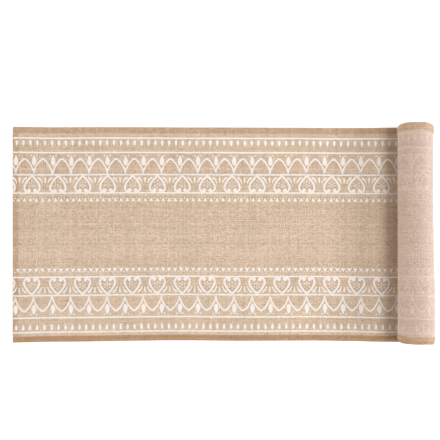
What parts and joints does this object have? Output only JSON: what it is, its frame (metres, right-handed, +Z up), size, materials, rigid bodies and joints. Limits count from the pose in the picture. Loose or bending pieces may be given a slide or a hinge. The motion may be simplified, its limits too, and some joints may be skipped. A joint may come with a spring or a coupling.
{
  "type": "table runner",
  "caption": "Long woven jute table runner with a pale backing and hemmed edges, laid flat with its far end rolled up on top of itself.",
  "frame": {"origin": "centre of the underside of the whole model's box, on the table", "axes": "+X along the runner, from the end that lies flat towards the roll; +Y across it; +Z up"},
  "size_m": [0.5952, 0.305, 0.0505],
  "materials": {
    "jute_cloth": "plain-woven natural jute, matt, with a white printed border",
    "hem_cloth": "the same jute cloth turned under and pressed, matt",
    "backing_cloth": "thin pale backing, matt, with the weave of the cloth showing faintly",
    "sewing_thread": "spun sewing thread, soft sheen"
  },
  "bodies": {
    "root": {"face_cloth_flat": "jute_cloth", "face_cloth_roll": "jute_cloth", "backing_flat": "backing_cloth", "backing_roll": "backing_cloth", "side_hem_far_flat": "hem_cloth", "side_hem_near_flat": "hem_cloth", "side_hem_far_roll": "hem_cloth", "side_hem_near_roll": "hem_cloth", "end_hem_outer": "hem_cloth", "end_hem_inner": "hem_cloth", "seam_thread_far_flat": "sewing_thread", "seam_thread_near_flat": "sewing_thread", "seam_thread_far_roll": "sewing_thread", "seam_thread_near_roll": "sewing_thread", "end_seam_thread_outer": "sewing_thread", "end_seam_thread_inner": "sewing_thread"}
  },
  "joints": []
}
